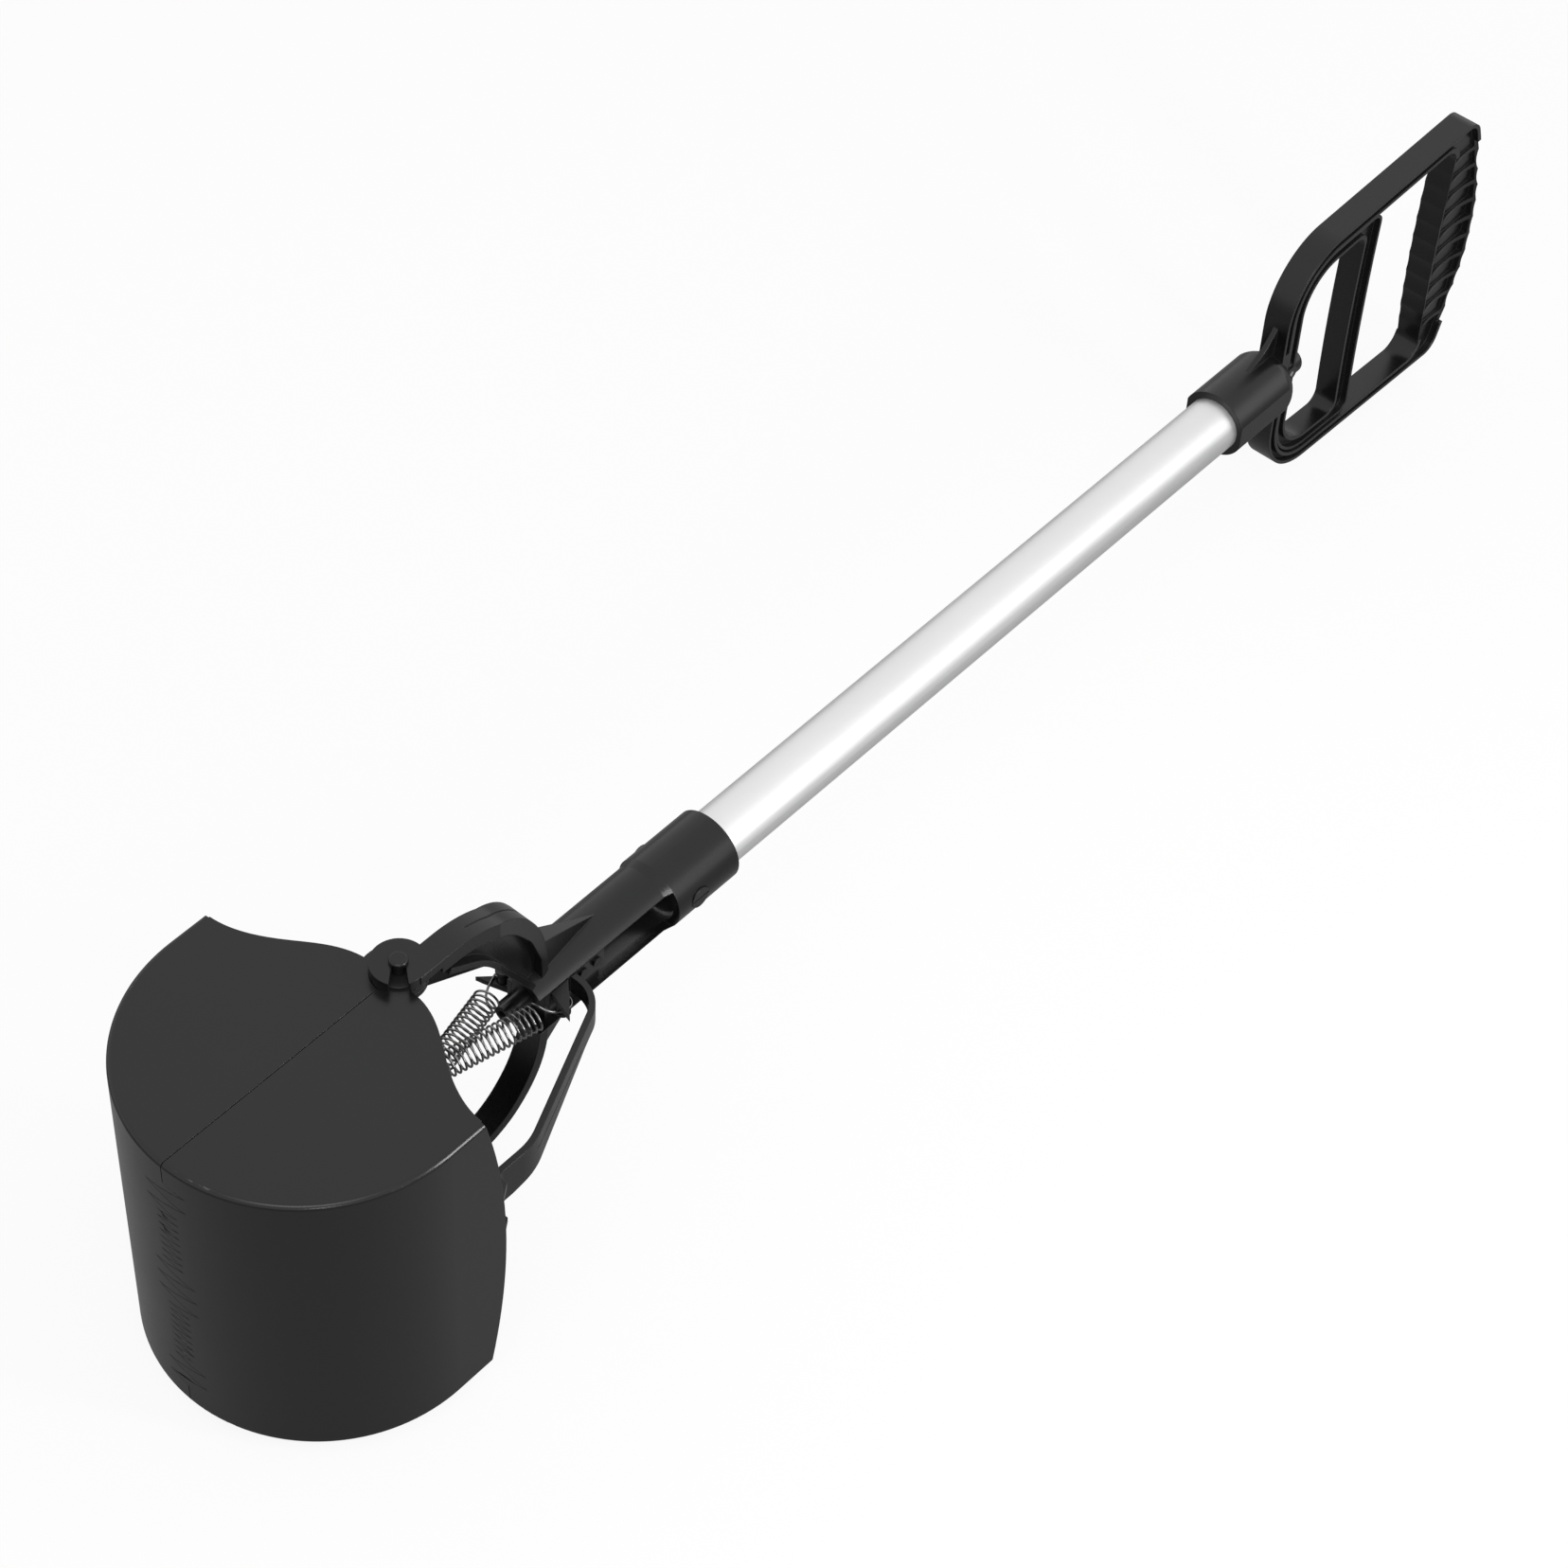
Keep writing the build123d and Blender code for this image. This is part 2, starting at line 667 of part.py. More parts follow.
with BuildPart() as right_jaw:
    with BuildSketch(level(-bucket_half_width)):
        with BuildLine():
            ThreePointArc(
                (front_top, large_swing),
                (
                    wall_middle + bucket_radius * cos(front_turn),
                    bucket_radius * sin(front_turn),
                ),
                (wall_middle, -bucket_radius),
            )
            Polyline(
                (wall_middle, -bucket_radius),
                (0, -bucket_radius),
                (0, large_swing),
                (front_top, large_swing),
            )
        make_face()
    extrude(amount=2 * bucket_half_width)
    rim = right_jaw.faces().filter_by(Axis.Z).edges()
    fillet(rim.filter_by(GeomType.CIRCLE) + rim.group_by(Axis.Y)[0], rim_radius)
    with BuildSketch(level(bucket_wall - bucket_half_width)):
        with BuildLine():
            ThreePointArc(
                (front_inner, tooth_top),
                (
                    wall_middle + inner_radius * cos(front_turn),
                    inner_radius * sin(front_turn),
                ),
                (wall_middle, -inner_radius),
            )
            Polyline(
                (wall_middle, -inner_radius),
                (0, -inner_radius),
                (0, tooth_top),
                (front_inner, tooth_top),
            )
        make_face()
    extrude(amount=2 * (bucket_half_width - bucket_wall), mode=Mode.SUBTRACT)
    with BuildSketch(across(-mouth_reach - overrun)):
        Polygon((tooth_top, -far_side), *edge, (tooth_top, far_side), align=None)
    extrude(amount=mouth_reach + overrun, mode=Mode.SUBTRACT)
    with BuildSketch(level(-far_side)):
        with BuildLine():
            Spline(*border)
            Polyline(
                border[-1],
                (-border_end[0], -border_end[1]),
                (-border_end[0], tooth_top),
                (overrun, tooth_top),
                (overrun, border[0][1]),
                border[0],
            )
        make_face()
    extrude(amount=2 * far_side, mode=Mode.SUBTRACT)
    with BuildSketch(upright(-inner_radius)):
        with BuildLine():
            ThreePointArc(
                (-wall_rear_side, -bucket_half_width),
                (-wall_rear_middle, 0),
                (-wall_rear_side, bucket_half_width),
            )
            Polyline(
                (-wall_rear_side, bucket_half_width),
                (overrun, bucket_half_width),
                (overrun, -bucket_half_width),
                (-wall_rear_side, -bucket_half_width),
            )
        make_face()
    extrude(amount=bucket_wall + overrun, mode=Mode.SUBTRACT)
    with BuildSketch(level(bucket_half_width - bucket_wall)):
        Circle(knuckle_radius)
    extrude(amount=bucket_wall)
    with BuildSketch(level(bucket_wall - bucket_half_width)):
        Circle(knuckle_pad_radius)
        Rectangle(
            2 * knuckle_pad_radius,
            knuckle_pad_radius,
            align=(Align.CENTER, Align.MIN),
            mode=Mode.SUBTRACT,
        )
        with Locations((knuckle_radius + knuckle_gap, 0)):
            Rectangle(
                knuckle_pad_radius,
                2 * knuckle_pad_radius,
                align=(Align.MIN, Align.CENTER),
                mode=Mode.SUBTRACT,
            )
        Circle(knuckle_radius)
    extrude(amount=bucket_wall + knuckle_lap)
    with BuildSketch(level(-bucket_half_width)):
        Circle(knuckle_radius + knuckle_gap)
    extrude(amount=bucket_wall + knuckle_lap, mode=Mode.SUBTRACT)
    with BuildSketch(level(-bucket_half_width)):
        Circle(rod_radius + running_gap)
    extrude(amount=2 * bucket_half_width, mode=Mode.SUBTRACT)
    for start in (link_low - link_drop - ear_gap - ear_thickness, link_high + ear_gap):
        with BuildSketch(level(start)) as ear:
            Polygon(
                (-ear_root_front, -inner_radius - ear_sink),
                (-ear_root_rear, -inner_radius - ear_sink),
                (link_end[0] + ear_tip_half, -link_end[1] - ear_tip_half / 2),
                (link_end[0] + ear_tip_half, -ear_tip_depth),
                (link_end[0] - ear_tip_half, -ear_tip_depth),
                align=None,
            )
            fillet(ear.vertices().group_by(Axis.Y)[-1], ear_corner)
            with Locations((link_end[0] * slot_middle, -link_end[1] * slot_middle)):
                SlotCenterToCenter(
                    slot_length,
                    2 * (link_pin_radius + pin_slot_gap),
                    rotation=slot_turn,
                    mode=Mode.SUBTRACT,
                )
        extrude(amount=ear_thickness)
finish(right_jaw, "right_jaw")

# Left jaw: the same moulding turned half round about the shaft
with BuildPart() as left_jaw:
    add(turned(right_jaw.part))
finish(left_jaw, "left_jaw")

# Slider that runs between the yoke's rails and carries both links
with BuildPart() as slider:
    with BuildSketch(across(slider_start)):
        Rectangle(2 * slider_depth, 2 * slider_width)
    extrude(amount=slider_length)
    chamfer(slider.edges().filter_by(Axis.X), slider_edge)
    with BuildSketch(across(spigot_start)):
        Circle(spigot_radius)
    extrude(amount=slider_start - spigot_start)
    with BuildSketch(across(spigot_start)):
        Circle(spigot_bore)
    extrude(amount=slider_length, mode=Mode.SUBTRACT)
    with BuildSketch(across(pull_start)):
        Circle(pull_radius + seat_gap)
    extrude(amount=slider_start + slider_length - pull_start, mode=Mode.SUBTRACT)
    with BuildSketch(level(-slider_width)):
        with Locations((slider_pin_place, 0)):
            Circle(cross_pin_radius + seat_gap)
    extrude(amount=2 * slider_width, mode=Mode.SUBTRACT)
    for side in (1, -1):
        with BuildSketch(upright(side * slider_depth)):
            for screw_place in link_screw_places:
                with Locations((screw_place, -side * link_screw_level)):
                    Circle(link_screw_radius + seat_gap)
        extrude(amount=side * link_screw_length, mode=Mode.SUBTRACT)
finish(slider, "slider")

# Pull rod, a thin tube from the slider to the trigger
with BuildPart() as pull_rod:
    with BuildSketch(across(pull_start)):
        Circle(pull_radius)
        Circle(pull_radius - pull_wall, mode=Mode.SUBTRACT)
    extrude(amount=pull_end - pull_start)
    with BuildSketch(level(-pull_radius)):
        with Locations((slider_pin_place, 0)):
            Circle(cross_pin_radius + seat_gap)
    extrude(amount=2 * pull_radius, mode=Mode.SUBTRACT)
    with BuildSketch(upright(pull_radius)):
        with Locations((trigger_pin_place, 0)):
            Circle(cross_pin_radius + seat_gap)
    extrude(amount=2 * pull_radius, mode=Mode.SUBTRACT)
finish(pull_rod, "pull_rod")

# Cross pin through the slider and the pull rod
with BuildPart() as slider_pin:
    with BuildSketch(level(-slider_width)):
        with Locations((slider_pin_place, 0)):
            Circle(cross_pin_radius)
    extrude(amount=2 * slider_width)
finish(slider_pin, "slider_pin")

# Cross pin through the trigger's boss and the pull rod
pin_boss_face = trigger_thickness / 2 + pin_boss_proud
with BuildPart() as trigger_pin:
    with BuildSketch(upright(pin_boss_face)):
        with Locations((trigger_pin_place, 0)):
            Circle(cross_pin_radius)
    extrude(amount=2 * pin_boss_face)
finish(trigger_pin, "trigger_pin")


def beside(point):
    """A link arm's point on the right-hand side of the shaft."""
    return (point[0], -point[1])


# Right link arm: a strap that grows taller towards the jaw, a web over its elbow, a base on the
# slider, an eye for the jaw's pin and a post for the spring
link_route = [
    (link_root, -slider_depth - link_base_depth / 2),
    (link_root, -link_elbow),
    beside(link_bend),
    beside(link_turn),
    beside(link_end),
]
link_bottom = link_low - link_drop
with BuildPart() as right_link:
    with BuildSketch(level(link_bottom)):
        with BuildLine():
            FilletPolyline(*link_route, radius=link_bends)
        trace(line_width=link_strip)
        with Locations(beside(link_end)):
            Circle(link_eye_radius)
    extrude(amount=link_high - link_bottom)
    with BuildSketch(upright(0)):
        Polygon(
            (0, link_bottom),
            (link_straight, link_low),
            (link_root + link_strip, link_low),
            (link_root + link_strip, link_bottom),
            align=None,
        )
    extrude(amount=bucket_radius, mode=Mode.SUBTRACT)
    with BuildSketch(level(link_low)):
        with Locations((slider_start, -slider_depth)):
            Rectangle(slider_length, link_base_depth, align=(Align.MIN, Align.MAX))
    extrude(amount=link_high - link_low)
    with BuildSketch(level(link_high - link_web)):
        with BuildLine():
            Polyline(
                (link_root, -slider_depth - link_base_depth / 2),
                (slider_start + link_toe_inset, -slider_depth - link_base_depth / 2),
                beside(link_heel),
            )
            ThreePointArc(beside(link_heel), beside(link_hollow), beside(link_tail))
            Polyline(
                beside(link_tail),
                (link_root - link_bends[0], -link_elbow),
                (link_root, link_bends[0] - link_elbow),
                (link_root, -slider_depth - link_base_depth / 2),
            )
        make_face()
    extrude(amount=link_web)
    with BuildSketch(level(link_groove_level)):
        with BuildLine():
            FilletPolyline(*link_route, radius=link_bends)
        trace(line_width=link_strip + 2 * link_groove_depth)
        with BuildLine():
            FilletPolyline(*link_route, radius=link_bends)
        trace(line_width=link_strip - 2 * link_groove_depth, mode=Mode.SUBTRACT)
        with Locations((link_groove_start, 0)):
            Rectangle(
                link_groove_end - link_groove_start,
                2 * bucket_radius,
                align=(Align.MIN, Align.CENTER),
                mode=Mode.INTERSECT,
            )
    extrude(amount=link_groove_width, mode=Mode.SUBTRACT)
    with BuildSketch(level(link_low)):
        with Locations(beside(post_place)):
            Circle(post_radius)
    extrude(amount=link_high - link_low)
    with BuildSketch(level(link_low)):
        with Locations(beside(post_place)):
            Circle(post_head_radius)
    extrude(amount=post_head)
    with BuildSketch(level(link_bottom)):
        with Locations(beside(link_end)):
            Circle(link_pin_radius + seat_gap)
    extrude(amount=link_high - link_bottom, mode=Mode.SUBTRACT)
    with BuildSketch(upright(-slider_depth)):
        for screw_place in link_screw_places:
            with Locations((screw_place, link_screw_level)):
                Circle(link_screw_radius + seat_gap)
    extrude(amount=link_base_depth, mode=Mode.SUBTRACT)
finish(right_link, "right_link")

with BuildPart() as left_link:
    add(turned(right_link.part))
finish(left_link, "left_link")

# Screws that fasten the link arms on the slider
with BuildPart() as link_screws:
    for side in (1, -1):
        seat = slider_depth + link_base_depth
        with BuildSketch(upright(side * seat)):
            for screw_place in link_screw_places:
                with Locations((screw_place, -side * link_screw_level)):
                    Circle(link_screw_radius)
        extrude(amount=side * link_screw_length)
        with BuildSketch(upright(side * seat)):
            for screw_place in link_screw_places:
                with Locations((screw_place, -side * link_screw_level)):
                    Circle(link_screw_head)
        extrude(amount=-side * link_screw_proud)
finish(link_screws, "link_screws")

# Pins in the link arms' eyes, which run in the slots of the jaws' ears
pin_low = link_bottom - 2 * ear_gap - ear_thickness
pin_high = link_high + 2 * ear_gap + ear_thickness
with BuildPart() as right_link_pin:
    with BuildSketch(level(pin_low)):
        with Locations(beside(link_end)):
            Circle(link_pin_radius)
    extrude(amount=pin_high - pin_low)
    with BuildSketch(level(pin_high)):
        with Locations(beside(link_end)):
            Circle(link_pin_head)
    extrude(amount=link_pin_proud)
finish(right_link_pin, "right_link_pin")

with BuildPart() as left_link_pin:
    add(turned(right_link_pin.part))
finish(left_link_pin, "left_link_pin")

# Right spring: a hook on the hinge rod, the coil, and a hook on the link arm's post
spring_length = hypot(post_place[0], post_place[1])
along = Vector(post_place[0], -post_place[1]).normalized()
aside = Vector(-along.Y, along.X)
upward = Vector(0, 0, 1)
spring_origin = Vector(hinge_x, 0, shaft_z + spring_level)
coil_length = spring_length - 2 * coil_inset
rise_per_radian = coil_length / (coil_half_turns * pi)


def spring_place(u, v, w):
    """Place on the spring, from its own length, side and height."""
    return spring_origin + along * u + aside * v + upward * w


def spring_heading(u, v, w):
    """Direction on the spring, from its own length, side and height."""
    return (along * u + aside * v + upward * w).normalized()


def double_arc(start, start_heading, end, end_heading):
    """Two arcs that join two places, each along its own heading."""
    span = end - start
    total = start_heading + end_heading
    bend = 2 * (1 - start_heading.dot(end_heading))
    reach = span.dot(total)
    step = (sqrt(reach**2 + bend * span.dot(span)) - reach) / bend
    first = start + start_heading * step
    last = end - end_heading * step
    joint = (first + last) * 0.5
    TangentArc(start, joint, tangent=start_heading)
    TangentArc(joint, end, tangent=last - first)


# The hook turns about the hinge from its free end to its top, and leaves for the coil
hook_turns = [-hook_end_angle, -half_turn / 2, -half_turn, -1.5 * half_turn]
hook_nodes = []
for turn in hook_turns:
    angle = radians(turn)
    hook_nodes.append(
        (
            (hook_offset + hook_radius * cos(angle), hook_radius * sin(angle), 0),
            (sin(angle), -cos(angle), 0),
        )
    )
coil_nodes = []
for step in range(coil_half_turns + 1):
    angle = half_turn / 2 + half_turn * step
    angle = radians(angle)
    coil_nodes.append(
        (
            (coil_inset + rise_per_radian * pi * step, coil_radius * cos(angle), coil_radius * sin(angle)),
            (rise_per_radian, -coil_radius * sin(angle), coil_radius * cos(angle)),
        )
    )
far_nodes = []
for (u, v, w), (du, dv, dw) in reversed(hook_nodes):
    far_nodes.append(((spring_length - u, -v, w), (du, dv, -dw)))
spring_nodes = hook_nodes + coil_nodes + far_nodes

with BuildPart() as right_spring:
    with BuildLine() as spring_route:
        for (start, start_way), (end, end_way) in zip(spring_nodes, spring_nodes[1:]):
            double_arc(
                spring_place(*start),
                spring_heading(*start_way),
                spring_place(*end),
                spring_heading(*end_way),
            )
    first_place, first_way = spring_nodes[0]
    with BuildSketch(Plane(origin=spring_place(*first_place), z_dir=spring_heading(*first_way))):
        Circle(wire_radius)
    sweep(path=spring_route.wires()[0])
finish(right_spring, "right_spring")

with BuildPart() as left_spring:
    add(turned(right_spring.part))
finish(left_spring, "left_spring")


def least_gap(route, radius):
    """Least gap between stretches of a wire that lie apart along it."""
    places = [route.position_at(step / gap_samples) for step in range(gap_samples + 1)]
    skip = int(gap_reach / (route.length / gap_samples)) + 1
    least = route.length
    for index, place in enumerate(places):
        for other in places[index + skip:]:
            least = min(least, hypot(place.X - other.X, place.Y - other.Y, place.Z - other.Z))
    return least - 2 * radius


print("spring: least gap to itself", round(least_gap(spring_route.wires()[0], wire_radius), 2), "mm")
print("spring: length of wire", round(spring_route.wires()[0].length, 1), "mm")
swept = pi * wire_radius**2 * spring_route.wires()[0].length
print("spring: volume over section times length", round(right_spring.part.volume / swept, 4))


def d_face(near, near_half, far, far_half, middle, near_bend, far_bend):
    """D-shaped face, round beside the shaft and bowed at its far side."""
    with BuildSketch(Plane.XY) as outline:
        with BuildLine():
            Polyline((far, far_half), (near, near_half), (near, -near_half), (far, -far_half))
            ThreePointArc((far, -far_half), (middle, 0), (far, far_half))
        make_face()
        fillet(outline.vertices().group_by(Axis.X)[0], near_bend)
        fillet(outline.vertices().group_by(Axis.X)[-1], far_bend)
    return outline.sketch


corner_place = grip_reach - corner_depth
shoulder_half = corner_half - shoulder_step
grip_inner_corner = grip_reach - grip_corner_depth
grip_inner_middle = grip_reach - grip_depth
grip_rib_pitch = grip_pitch_share * corner_half
flare = (corner_half - shoulder_half) / (corner_place - frame_start)


def frame_half(reach, inset):
    """Half height inside the frame's flaring sides."""
    return shoulder_half + flare * (reach - frame_start) - inset


frame_outer = d_face(
    frame_start,
    shoulder_half,
    corner_place,
    corner_half,
    grip_reach + scallop_depth / 2,
    shoulder_radius,
    corner_radius,
)
frame_inner = d_face(
    frame_start + frame_rim,
    frame_half(frame_start, frame_rim),
    grip_inner_corner,
    frame_half(grip_inner_corner, frame_rim),
    grip_inner_middle,
    shoulder_radius - frame_rim,
    corner_radius,
)
frame_pocket = d_face(
    frame_start + frame_lip,
    frame_half(frame_start, frame_lip),
    corner_place - frame_lip,
    frame_half(corner_place, frame_lip),
    grip_reach - frame_lip - scallop_depth,
    shoulder_radius - frame_lip,
    corner_radius - frame_lip,
)
frame_land = d_face(
    frame_start + frame_rim - frame_lip,
    frame_half(frame_start, frame_rim - frame_lip),
    grip_inner_corner + frame_lip + inner_scallop_depth,
    frame_half(grip_inner_corner, frame_rim - frame_lip),
    grip_inner_middle + frame_lip + inner_scallop_depth,
    shoulder_radius - frame_rim + frame_lip,
    corner_radius,
)
grip_middle = (grip_reach + grip_inner_middle) / 2
scallop_radius = (grip_rib_pitch**2 / 4 + scallop_depth**2) / (2 * scallop_depth)
inner_scallop_radius = (grip_rib_pitch**2 / 4 + inner_scallop_depth**2) / (2 * inner_scallop_depth)
scallops = [(step - (grip_ribs - 2) / 2) * grip_rib_pitch for step in range(grip_ribs - 1)]


def bowed(middle, corner, half, place):
    """Reach of a bowed edge at a height beside its middle."""
    return middle - (middle - corner) * (place / half) ** 2


# Handle: D frame with a ribbed grip, and the socket that takes the tube
socket_start = tube_end - socket_depth
socket_stop = frame_start + frame_rim
grip_ribs_half = grip_ribs * grip_rib_pitch / 2
grip_dip_radius = (grip_dip_half**2 + grip_dip**2) / (2 * grip_dip)
gusset_start = tube_end - gusset_depth
gusset_half = gusset_share * shoulder_half
with BuildPart() as socket:
    with BuildSketch(upright(0)):
        with BuildLine():
            Polyline(
                (socket_stop, socket_tip_radius),
                (socket_stop, 0),
                (socket_start, 0),
                (socket_start, socket_radius),
                (tube_end, socket_radius),
            )
            ThreePointArc(
                (tube_end, socket_radius),
                (
                    (tube_end + socket_stop) / 2,
                    (socket_radius + socket_tip_radius) / 2 + socket_swell,
                ),
                (socket_stop, socket_tip_radius),
            )
        make_face()
    revolve(axis=shaft_axis)
    with BuildSketch(across(socket_start)):
        Rectangle(2 * socket_flat, 2 * socket_radius)
    extrude(amount=socket_stop - socket_start, mode=Mode.INTERSECT)

with BuildPart() as handle:
    with BuildSketch(upright(handle_thickness / 2)):
        add(frame_outer)
    extrude(amount=handle_thickness)
    add(socket.part)
    for side in (1, -1):
        with BuildSketch(upright(gusset_thickness / 2)):
            with BuildLine():
                Polyline(
                    (gusset_start, side * (socket_radius - gusset_sink)),
                    (frame_start + gusset_sink, side * (socket_radius - gusset_sink)),
                    (frame_start + gusset_sink, side * gusset_half),
                )
                ThreePointArc(
                    (frame_start + gusset_sink, side * gusset_half),
                    (
                        (gusset_start + frame_start) / 2 + gusset_hollow,
                        side * ((socket_radius + gusset_half) / 2 - gusset_hollow),
                    ),
                    (gusset_start, side * (socket_radius - gusset_sink)),
                )
            make_face()
        extrude(amount=gusset_thickness)
    with BuildSketch(upright(handle_thickness / 2)):
        add(frame_inner)
    extrude(amount=handle_thickness, mode=Mode.SUBTRACT)
    with BuildSketch(across(socket_start)):
        Circle(tube_radius + seat_gap)
    extrude(amount=tube_end - socket_start, mode=Mode.SUBTRACT)
    with BuildSketch(across(socket_start)):
        Circle(pull_radius + running_gap)
    extrude(amount=frame_start + frame_rim + overrun - socket_start, mode=Mode.SUBTRACT)
    with BuildSketch(upright(socket_flat + overrun)):
        with Locations((handle_screw_place, 0)):
            Circle(tube_screw_radius + seat_gap)
    extrude(amount=socket_flat + overrun, mode=Mode.SUBTRACT)
    with BuildSketch(upright(handle_thickness / 2)):
        for place in scallops:
            edge_reach = bowed(grip_reach, corner_place, corner_half, place)
            with Locations((edge_reach + scallop_radius - scallop_depth, place)):
                Circle(scallop_radius)
    extrude(amount=handle_thickness, mode=Mode.SUBTRACT)
    with BuildSketch(upright(handle_thickness / 2)):
        for place in scallops:
            edge_reach = bowed(grip_inner_middle, grip_inner_corner, corner_half, place)
            with Locations((edge_reach - inner_scallop_radius + inner_scallop_depth, place)):
                Circle(inner_scallop_radius)
        with Locations((grip_inner_corner, 0)):
            Rectangle(
                2 * corner_radius,
                grip_ribs * grip_rib_pitch,
                mode=Mode.INTERSECT,
            )
    extrude(amount=handle_thickness, mode=Mode.SUBTRACT)
    for side in (1, -1):
        with BuildSketch(upright(side * handle_thickness / 2)):
            add(frame_pocket)
            add(frame_land, mode=Mode.SUBTRACT)
            with Locations((frame_start, 0)):
                Rectangle(2 * frame_rim, 2 * socket_radius, mode=Mode.SUBTRACT)
            with Locations((grip_middle, 0)):
                with GridLocations(0, grip_rib_pitch, 1, grip_ribs):
                    Rectangle(2 * grip_depth, grip_rib, mode=Mode.SUBTRACT)
        extrude(amount=side * frame_channel, mode=Mode.SUBTRACT)
    for side in (1, -1):
        with BuildSketch(level(-grip_ribs_half)):
            with Locations((grip_middle, side * (handle_thickness / 2 - grip_dip + grip_dip_radius))):
                Circle(grip_dip_radius)
        extrude(amount=2 * grip_ribs_half, mode=Mode.SUBTRACT)
finish(handle, "handle")

# Trigger's outline, opening and recess follow the frame's inner edge
trigger_bar_end = trigger_start + trigger_length
trigger_inset = frame_rim + trigger_gap
trigger_bend = shoulder_radius - trigger_inset
trigger_outer = d_face(
    trigger_start,
    frame_half(frame_start, trigger_inset),
    trigger_bar_end,
    frame_half(trigger_bar_end, trigger_inset),
    trigger_bar_end - trigger_bow,
    trigger_bend,
    trigger_corner,
)
bar_inner = trigger_bar_end - trigger_bar_depth
trigger_inner = d_face(
    trigger_start + trigger_rim,
    frame_half(frame_start, trigger_inset + trigger_rim),
    bar_inner,
    frame_half(bar_inner, trigger_inset + trigger_rim),
    bar_inner - trigger_bow,
    trigger_bend - trigger_rim,
    trigger_corner,
)
trigger_pocket = d_face(
    trigger_start + trigger_lip,
    frame_half(frame_start, trigger_inset + trigger_lip),
    trigger_bar_end - trigger_lip,
    frame_half(trigger_bar_end, trigger_inset + trigger_lip),
    trigger_bar_end - trigger_bow - trigger_lip,
    trigger_bend - trigger_lip,
    trigger_corner - trigger_lip,
)
trigger_land = d_face(
    trigger_start + trigger_rim - trigger_lip,
    frame_half(frame_start, trigger_inset + trigger_rim - trigger_lip),
    bar_inner + trigger_lip,
    frame_half(bar_inner, trigger_inset + trigger_rim - trigger_lip),
    bar_inner - trigger_bow + trigger_lip,
    trigger_bend - trigger_rim + trigger_lip,
    trigger_corner,
)
with BuildPart() as boss:
    with BuildSketch(across(trigger_start)):
        Circle(trigger_boss_radius)
    extrude(amount=trigger_boss_length)
    fillet(boss.edges().group_by(Axis.X)[-1], trigger_boss_bend)

with BuildPart() as trigger:
    with BuildSketch(upright(trigger_thickness / 2)):
        add(trigger_outer)
        add(trigger_inner, mode=Mode.SUBTRACT)
    extrude(amount=trigger_thickness)
    for side in (1, -1):
        with BuildSketch(upright(side * trigger_thickness / 2)):
            add(trigger_pocket)
            add(trigger_land, mode=Mode.SUBTRACT)
        extrude(amount=side * trigger_channel, mode=Mode.SUBTRACT)
    add(boss.part)
    with BuildSketch(upright(pin_boss_face)):
        with Locations((trigger_pin_place, 0)):
            Circle(pin_boss_radius)
    extrude(amount=2 * pin_boss_face)
    with BuildSketch(across(trigger_start - pin_boss_radius)):
        Circle(pull_radius + seat_gap)
    extrude(amount=pull_end - trigger_start + pin_boss_radius, mode=Mode.SUBTRACT)
    with BuildSketch(upright(pin_boss_face)):
        with Locations((trigger_pin_place, 0)):
            Circle(cross_pin_radius + seat_gap)
    extrude(amount=2 * pin_boss_face, mode=Mode.SUBTRACT)
finish(trigger, "trigger")
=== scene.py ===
import bpy
import bmesh
from math import cos, hypot, pi, radians, sin
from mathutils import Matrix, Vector


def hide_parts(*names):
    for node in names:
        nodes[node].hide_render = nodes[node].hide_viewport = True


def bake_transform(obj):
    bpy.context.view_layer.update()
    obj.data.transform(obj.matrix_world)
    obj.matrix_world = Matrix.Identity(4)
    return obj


# the scooper, dressed for its picture; all lengths are metres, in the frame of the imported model
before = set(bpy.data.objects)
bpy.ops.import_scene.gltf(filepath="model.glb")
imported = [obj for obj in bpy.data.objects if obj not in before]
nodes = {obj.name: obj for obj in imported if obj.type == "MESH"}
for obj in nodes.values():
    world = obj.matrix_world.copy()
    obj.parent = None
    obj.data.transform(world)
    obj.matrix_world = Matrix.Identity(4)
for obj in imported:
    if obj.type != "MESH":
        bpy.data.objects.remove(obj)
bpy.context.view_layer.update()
scene = bpy.context.scene
hinge = Vector((-0.28575, 0.0, 0.081))  # where the hinge's axis crosses the shaft's axis
print("frame loaded:", len(nodes), "nodes")


def newMaterial(name):
    mat = bpy.data.materials.new(name)
    mat.use_nodes = True
    mat.node_tree.nodes.clear()
    return mat


def addNode(tree, kind, inputs=None, **settings):
    node = tree.nodes.new(kind)
    for key, value in settings.items():
        setattr(node, key, value)
    for key, value in (inputs or {}).items():
        socket = node.inputs[key]
        if isinstance(value, bpy.types.NodeSocket):
            tree.links.new(value, socket)
        else:
            socket.default_value = value
    return node


def addNoise(tree, vector, scale, detail=3.0, stretch=None, roughness=0.5):
    if stretch:
        vector = addNode(tree, "ShaderNodeMapping", {"Vector": vector, "Scale": stretch}).outputs["Vector"]
    settings = {"Vector": vector, "Scale": scale, "Detail": detail, "Roughness": roughness}
    return addNode(tree, "ShaderNodeTexNoise", settings).outputs["Fac"]


def addRange(tree, value, low, high, toLow, toHigh):
    settings = {"Value": value, "From Min": low, "From Max": high, "To Min": toLow, "To Max": toHigh}
    return addNode(tree, "ShaderNodeMapRange", settings).outputs["Result"]


def addMaths(tree, operation, first, second):
    return addNode(tree, "ShaderNodeMath", {0: first, 1: second}, operation=operation).outputs[0]


